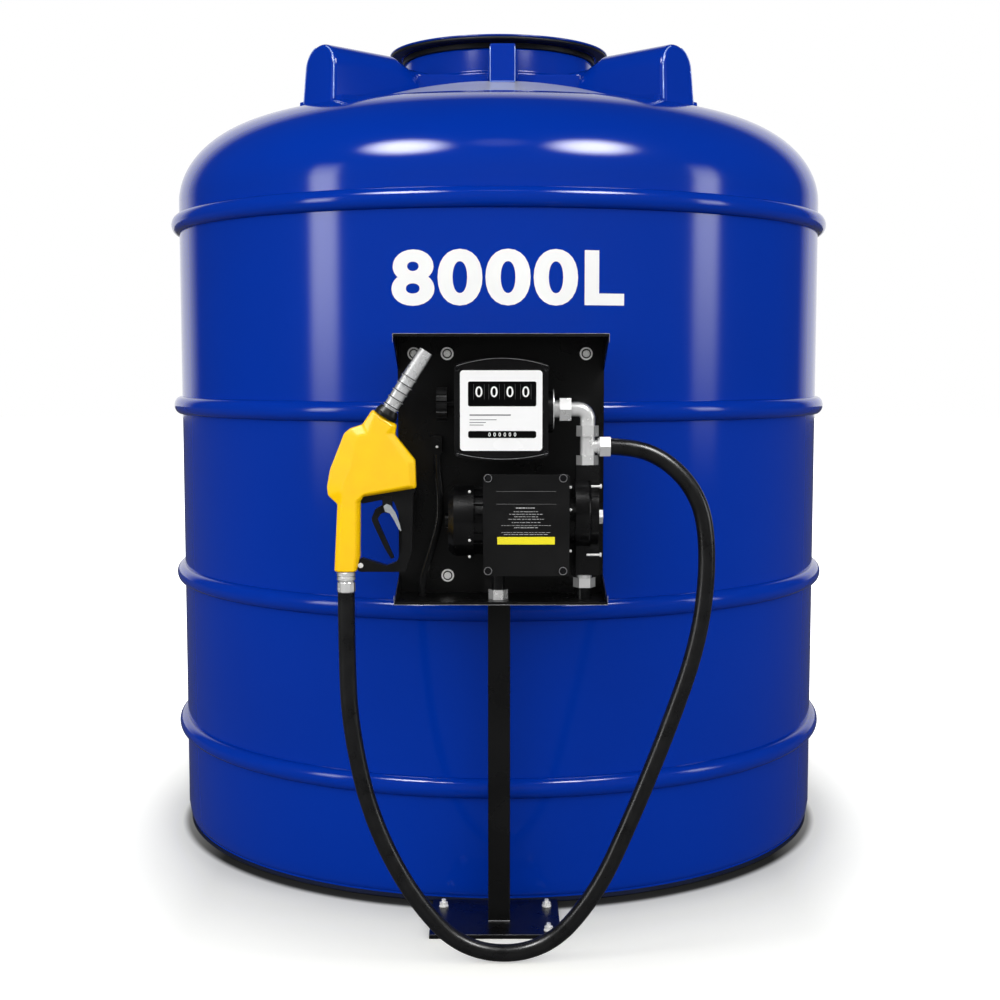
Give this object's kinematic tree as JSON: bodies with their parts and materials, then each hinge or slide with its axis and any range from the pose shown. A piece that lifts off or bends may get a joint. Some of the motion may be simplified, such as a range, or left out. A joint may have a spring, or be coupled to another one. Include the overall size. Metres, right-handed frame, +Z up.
{
  "type": "diesel tank with pump",
  "caption": "upright round plastic tank with ribbed wall, domed roof and manhole; a pump, flow meter, hose and hand nozzle stand on a post in front",
  "frame": {"origin": "centre of the tank's foot on the floor", "axes": "+Z up the tank's axis, -Y towards the pump stand, +X to the right seen from the front"},
  "size_m": [2.192, 2.605, 2.579],
  "materials": {
    "tank_blue": "moulded blue polyethylene, glossy",
    "seal_rubber": "black rubber seal",
    "black_paint": "black powder coat, satin to gloss",
    "bolt_steel": "zinc-plated and blackened screws",
    "meter_black": "black painted castings",
    "black_plastic": "black moulded plastic",
    "face_white": "white enamelled face",
    "bright_nickel": "nickel-plated fittings",
    "spout_metal": "turned aluminium",
    "nozzle_yellow": "yellow moulded cover",
    "hose_rubber": "black rubber"
  },
  "bodies": {
    "tank_and_stand": {"tank_wall": "tank_blue", "tank_floor": "tank_blue", "tank_roof": "tank_blue", "manhole_neck": "tank_blue", "lug_front_right": "tank_blue", "lug_back_right": "tank_blue", "lug_back_left": "tank_blue", "lug_front_left": "tank_blue", "hasp_tab": "tank_blue", "lid_seal": "seal_rubber", "base_plate": "black_paint", "stand_post": "black_paint", "panel": "black_paint", "mounting_plate": "black_paint", "nozzle_holder": "black_paint", "anchor_bolts": "bolt_steel", "panel_screws": "bolt_steel", "cover_screws": "bolt_steel", "meter_housing": "meter_black", "pump_head": "meter_black", "pump_casting": "meter_black", "motor_body": "meter_black", "motor_end_cap": "meter_black", "outlet_pipe": "meter_black", "inlet_pipe": "meter_black", "terminal_box": "black_plastic", "terminal_cover": "black_plastic", "cable_clip": "black_plastic", "nozzle_guard": "black_plastic", "nozzle_collar": "black_plastic", "meter_face": "face_white", "elbow_nut": "bright_nickel", "elbow": "bright_nickel", "union_nut": "bright_nickel", "tee": "bright_nickel", "tee_lower_nut": "bright_nickel", "hose_ferrule": "bright_nickel", "pump_plug": "bright_nickel", "outlet_union": "bright_nickel", "inlet_union": "bright_nickel", "nozzle_swivel": "bright_nickel", "nozzle_spout": "spout_metal", "nozzle_latch": "spout_metal", "nozzle_body": "nozzle_yellow", "dispensing_hose": "hose_rubber", "power_cable": "hose_rubber"},
    "lid": {"tank_lid": "tank_blue"},
    "knob": {"reset_knob": "black_plastic"},
    "trigger": {"nozzle_trigger": "black_plastic"}
  },
  "joints": [
    {"name": "lid_lift", "type": "slide", "parent": "tank_and_stand", "child": "lid", "axis": [0, 0, 1], "range_m": [0, 0.3]},
    {"name": "reset_knob_turn", "type": "hinge", "parent": "tank_and_stand", "child": "knob", "pos_m": [-0.14, -1.33, 1.424], "axis": [1, 0, 0], "continuous": true},
    {"name": "trigger_pull", "type": "hinge", "parent": "tank_and_stand", "child": "trigger", "pos_m": [-0.283, -1.4, 1.16], "axis": [0, 1, 0], "range_deg": [0, 20], "stiffness_Nm_per_rad": 1, "springref_deg": -11.46}
  ]
}
